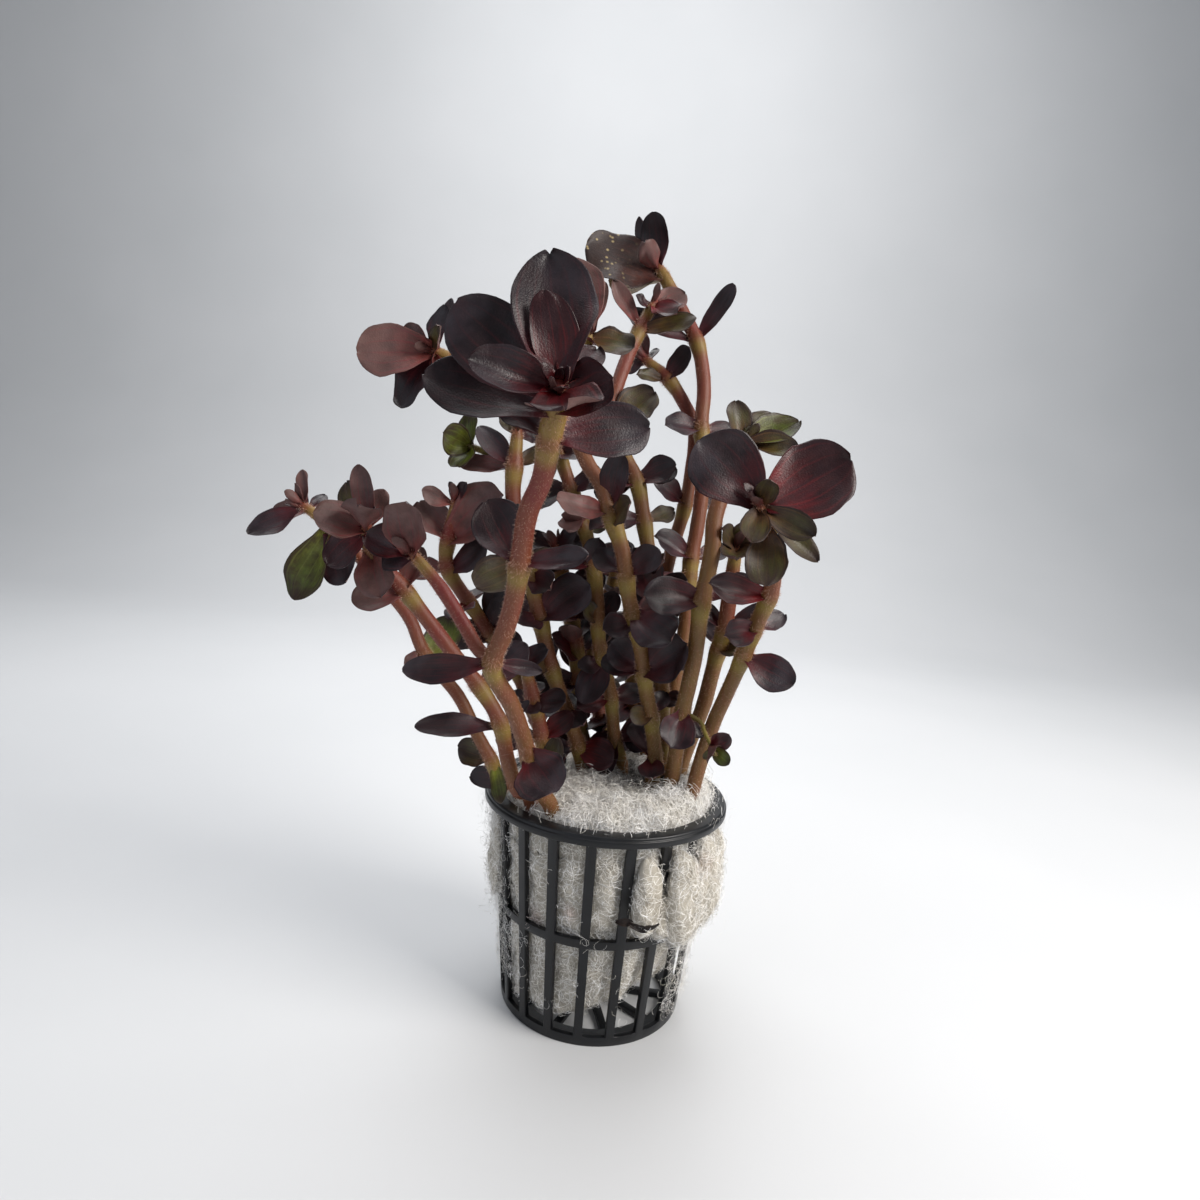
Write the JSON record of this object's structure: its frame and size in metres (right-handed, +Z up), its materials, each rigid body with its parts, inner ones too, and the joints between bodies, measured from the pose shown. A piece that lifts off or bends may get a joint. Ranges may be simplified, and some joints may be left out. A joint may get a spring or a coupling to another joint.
{
  "type": "potted bacopa",
  "caption": "Bunch of leafy red-purple bacopa stems packed in white filter wool in a black slatted net pot.",
  "frame": {"origin": "middle of the net pot's base, on the underside of its hub", "axes": "+Z up along the pot's axis, -Y towards the side with the biggest leaf head, +X to the right seen from there"},
  "size_m": [0.1062, 0.0907, 0.1653],
  "materials": {
    "black_plastic": "satin",
    "wool": "matte",
    "purple_shoot": "satin",
    "olive_shoot": "satin"
  },
  "bodies": {
    "root": {"net_pot": "black_plastic", "filter_wool": "wool", "front_shoot": "purple_shoot", "left_front_branch": "purple_shoot", "left_shoot": "purple_shoot", "far_left_shoot": "purple_shoot", "upper_left_shoot": "purple_shoot", "green_head_shoot": "olive_shoot", "second_top_shoot": "purple_shoot", "top_shoot": "purple_shoot", "third_top_shoot": "purple_shoot", "right_shoot": "purple_shoot", "right_inner_shoot": "purple_shoot", "right_rear_shoot": "olive_shoot", "centre_left_shoot": "olive_shoot", "left_rear_shoot": "purple_shoot", "inner_left_shoot": "purple_shoot", "inner_rear_shoot": "purple_shoot", "inner_right_shoot": "purple_shoot", "low_left_shoot": "purple_shoot"}
  },
  "joints": []
}
